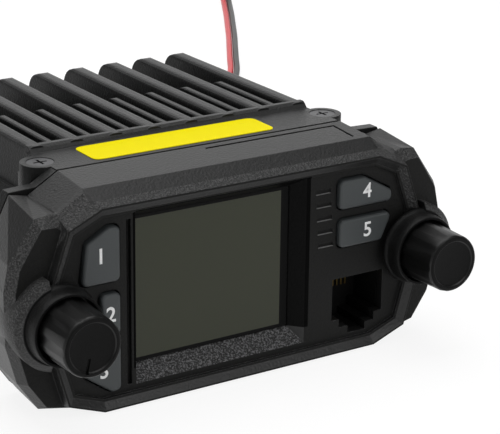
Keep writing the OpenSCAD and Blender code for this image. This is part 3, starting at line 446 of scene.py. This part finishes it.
PAINTS = {
    "black_powder_coat": powder_coat(),
    "dark_moulding": panel_moulding(),
    "knob_rubber": knob_rubber(),
    "window": window_glass(),
    **{slot: speckled(slot, *values) for slot, values in SPECKLED.items()},
    **{slot: metal(slot, *values) for slot, values in METALS.items()},
}


def paint_nodes():
    """Each CAD node takes the paint of its slot in the record."""
    for part in frame["record"]["subparts"]:
        slots = nodes[part["node"]].data.materials
        slots.clear()
        slots.append(PAINTS[part["material_slot"]])


paint_nodes()


# Power lead: two conductors along the route of their solids

LEAD_D = 1.9
LEAD_GAP = 0.03
LEAD_CLEARANCE = 0.1
LEAD_FLOOR = LEAD_D / 2 + LEAD_CLEARANCE
LEAD_ROUTE = [
    (25, 91, 12), (25, 95, 12), (26, 101, 10.2), (28, 108, 6), (32, 116, 2.4),
    *((x, y, LEAD_FLOOR) for x, y in (
        (38, 124), (46, 131), (56, 138), (68, 146), (80, 154), (92, 163.5), (103, 173.5), (113, 184),
        (122, 196), (130, 209), (138, 222), (146, 235), (154, 248.5), (162, 262), (170, 276), (178, 290))),
]
LEAD_STEPS = 6
LEAD_ROUNDNESS = 4


def spline(p, q, r, s, t):
    """Point of the smooth curve from q to r at a share t of the way."""
    return 0.5 * (2 * q + (r - p) * t + (2 * p - 5 * q + 4 * r - s) * t**2 + (3 * q - p - 3 * r + s) * t**3)


def lead_line():
    """Middle line between the two conductors."""
    route = [at(*p) for p in LEAD_ROUTE]
    padded = [route[0], *route, route[-1]]
    line = [spline(*padded[i:i + 4], k / LEAD_STEPS)
            for i in range(len(route) - 1) for k in range(LEAD_STEPS)]
    return [*line, route[-1]]


def conductor_points(side):
    """Line of one conductor, offset to one side of the middle line."""
    line = lead_line()
    points = []
    for i, p in enumerate(line):
        heading = line[min(i + 1, len(line) - 1)] - line[max(i - 1, 0)]
        sideways = Vector((heading.y, -heading.x, 0)).normalized()
        points.append(p + sideways * side * (LEAD_D / 2 + LEAD_GAP) * MM)
    return points


def add_conductor(name, side, slot):
    """One conductor, as a round curve in place of its plain solid."""
    points = conductor_points(side)
    data = bpy.data.curves.new(name, "CURVE")
    data.dimensions = "3D"
    data.bevel_depth = LEAD_D / 2 * MM
    data.bevel_resolution = LEAD_ROUNDNESS
    data.use_fill_caps = True
    run = data.splines.new("POLY")
    run.points.add(len(points) - 1)
    for target, p in zip(run.points, points):
        target.co = (*p, 1)
    data.materials.append(PAINTS[slot])
    lead = add_object(name + "_insulation", data)
    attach(lead, ROOT)
    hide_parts(name)


add_conductor("power_lead_red", -1, "red_insulation")
add_conductor("power_lead_black", 1, "black_insulation")


# Edges

EDGE_SEGMENTS = 2
SOFT_EDGES = {
    # node: width, least angle in degrees, distance within which points are joined
    "chassis": (0.05, 32, 0.02),
    "front_panel": (0.05, 65, 0.001),
    "bottom_cover": (0.04, 32, 0.001),
    "antenna_flange": (0.3, 32, 0.001),
    "speaker_jack_nut": (0.2, 32, 0.001),
    "lead_connector": (0.4, 32, 0.001),
    **dict.fromkeys(KEYS, (0.3, 32, 0.001)),
    **dict.fromkeys(KNOBS, (0.06, 18.4, 0.001)),
}


def soften(node, width, angle, join):
    """Rounds a CAD node's edges sharper than an angle, as moulding, coating or deburring does."""
    obj = nodes[node]
    obj.modifiers.new("joined", "WELD").merge_threshold = join * MM
    edges = obj.modifiers.new("edges", "BEVEL")
    edges.width = width * MM
    edges.segments = EDGE_SEGMENTS
    edges.limit_method = "ANGLE"
    edges.angle_limit = math.radians(angle)
    edges.use_clamp_overlap = False
    edges.loop_slide = False
    edges.harden_normals = True


for node, edge in SOFT_EDGES.items():
    soften(node, *edge)


# Antenna socket: the plain barrel gets its thread

THREAD_PITCH = 1.058
THREAD_DEPTH = 0.6
THREAD_STEPS = 6
BARREL_SIDES = 96
MOUTH_CHAMFER = 0.5
NECK_STEP = 0.4
SHARP_ANGLE = 30


def thread_share(y, turn, start, end):
    """Height of the thread's ridge at a place, which runs out at both ends of the barrel."""
    pitch = THREAD_PITCH * MM
    phase = ((y - start) / pitch - turn) % 1
    runout = min(y - start, end - y) / pitch
    return max(0.0, min(1.0, runout)) * (1 - abs(2 * phase - 1))


def barrel_rings(low, high, turns):
    """Rings of depth and radius along the socket: its neck, thread, mouth and bore."""
    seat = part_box("antenna_flange")[1].y
    insulator_low, insulator_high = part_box("antenna_insulator")
    bore = (insulator_high.x - insulator_low.x) / 2
    crest = (high.x - low.x) / 2
    root = crest - THREAD_DEPTH * MM
    neck = crest - NECK_STEP * MM
    mouth = root - MOUTH_CHAMFER * MM
    end = high.y - MOUTH_CHAMFER * MM
    count = round((end - seat) / (THREAD_PITCH * MM) * THREAD_STEPS)
    depths = [seat + (end - seat) * i / count for i in range(count + 1)]
    thread = [[(y, root + (crest - root) * thread_share(y, t, seat, end)) for t in turns] for y in depths]
    before = [[place] * len(turns) for place in ((low.y, neck), (seat, neck))]
    after = [[place] * len(turns) for place in ((high.y, mouth), (high.y, bore), (low.y, bore))]
    return before + thread + after


def ring_faces(rings, sides):
    """Faces between neighbouring rings, where the last ring joins the first."""
    faces = []
    for i in range(rings):
        near = i * sides
        far = (i + 1) % rings * sides
        for j in range(sides):
            k = (j + 1) % sides
            faces.append((near + j, far + j, far + k, near + k))
    return faces


def add_threaded_socket():
    """Shell of the antenna socket with its outer thread, in place of the plain solid."""
    low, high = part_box("antenna_socket")
    middle = (low + high) / 2
    turns = [i / BARREL_SIDES for i in range(BARREL_SIDES)]
    rings = barrel_rings(low, high, turns)
    points = [(middle.x + r * math.cos(math.tau * t), y, middle.z + r * math.sin(math.tau * t))
              for ring in rings for (y, r), t in zip(ring, turns)]
    mesh = bpy.data.meshes.new("antenna_socket_shell")
    mesh.from_pydata(points, [], ring_faces(len(rings), BARREL_SIDES))
    mesh.shade_smooth()
    mesh.set_sharp_from_angle(angle=math.radians(SHARP_ANGLE))
    mesh.materials.append(PAINTS["bright_steel"])
    shell = add_object("antenna_socket_shell", mesh)
    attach(shell, ROOT)
    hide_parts("antenna_socket")


add_threaded_socket()


# Legends on the keys: plain numerals

LEGEND_SIZE = 4.2
LEGEND_LIFT = 0.03
LEGEND_WEIGHT = 0.07


def add_legend(key, numeral):
    """A numeral printed on the middle of a key's face."""
    low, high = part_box(key)
    data = bpy.data.curves.new("legend_" + numeral, "FONT")
    data.body = numeral
    data.size = LEGEND_SIZE * MM
    data.extrude = LEGEND_LIFT * MM
    data.offset = LEGEND_WEIGHT * MM
    data.align_x = "CENTER"
    data.align_y = "CENTER"
    data.materials.append(PAINTS["legend_white"])
    legend = add_object("legend_" + numeral, data)
    legend.location = ((low.x + high.x) / 2, low.y, (low.z + high.z) / 2)
    legend.rotation_euler = (math.radians(90), 0, 0)
    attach(legend, key.removesuffix("_key") + "_button")


for number, key in enumerate(KEYS, 1):
    add_legend(key, str(number))


# Floor, lights and world, in metres

FLOOR_SIZE = 6
FLOOR_TONE = 0.90
FLOOR_ROUGHNESS = 0.9
FLOOR_GLOW = 1.08
FLOOR_GLOW_SHARE = 0.8
LIGHTS = [
    # name, place, aim, width, height, power
    ("overhead", (0.0, 0.20, 1.0), (0, 0, 0.02), 1.0, 1.0, 7.6),
    ("left", (-0.95, 0.05, 0.70), (0, 0, 0.03), 0.7, 0.7, 1.4),
    ("backdrop", (0.45, 1.15, 0.55), (0, 0, 0.03), 1.4, 0.9, 3.5),
    ("front", (0.35, -1.3, 0.9), (0, 0, 0.02), 1.0, 1.0, 8.0),
]
WHITE = (1, 1, 1, 1)
AMBIENT = 0.10
WALL_GLOW = 1.0
WALL_HEIGHT = 0.12


def floor_paint():
    """Pale floor that looks white, with faint shadows, to the camera and in reflections."""
    paint = Paint("floor", grey(FLOOR_TONE), FLOOR_ROUGHNESS)
    path = paint.node("ShaderNodeLightPath").outputs
    seen = paint.any_of(path["Is Camera Ray"], path["Is Glossy Ray"], path["Is Transmission Ray"])
    glow = paint.node("ShaderNodeEmission", {"Strength": FLOOR_GLOW})
    share = paint.spread(seen, 0.0, FLOOR_GLOW_SHARE)
    blend = {0: share, 1: paint.shader.outputs["BSDF"], 2: glow.outputs[0]}
    output = paint.tree.nodes["Material Output"]
    paint.tree.links.new(paint.node("ShaderNodeMixShader", blend).outputs[0], output.inputs["Surface"])
    return paint.material


def add_floor():
    """Plain pale floor."""
    bpy.ops.mesh.primitive_plane_add(size=FLOOR_SIZE)
    floor = bpy.context.object
    floor.name = "floor"
    floor.data.materials.append(floor_paint())


def add_light(name, place, aim, width, height, power):
    """Soft rectangular light aimed at a point."""
    data = bpy.data.lights.new(name, "AREA")
    data.shape = "RECTANGLE"
    data.size = width
    data.size_y = height
    data.energy = power
    light = add_object(name, data)
    light.location = place
    light.rotation_mode = "QUATERNION"
    light.rotation_quaternion = (Vector(aim) - Vector(place)).to_track_quat("-Z", "Y")
    light.visible_camera = False


def set_world():
    """Even, weak light from all round, that looks white to the camera and low down in reflections."""
    world = bpy.data.worlds.new("studio")
    world.use_nodes = True
    tree = world.node_tree
    weak = tree.nodes["Background"]
    weak.inputs["Color"].default_value = WHITE
    weak.inputs["Strength"].default_value = AMBIENT
    sky = NodeTree(tree)
    path = sky.node("ShaderNodeLightPath").outputs
    height = sky.parts(sky.node("ShaderNodeTexCoord").outputs["Generated"])[2]
    mirrored = sky.all_of(sky.any_of(path["Is Glossy Ray"], path["Is Transmission Ray"]),
                          sky.under(height, WALL_HEIGHT))
    white = sky.node("ShaderNodeBackground", {"Color": WHITE, "Strength": WALL_GLOW})
    blend = {0: sky.any_of(path["Is Camera Ray"], mirrored), 1: weak.outputs[0], 2: white.outputs[0]}
    output = tree.nodes["World Output"]
    tree.links.new(sky.node("ShaderNodeMixShader", blend).outputs[0], output.inputs["Surface"])
    bpy.context.scene.world = world


add_floor()
for light in LIGHTS:
    add_light(*light)
set_world()
bpy.context.scene.view_settings.view_transform = "Standard"
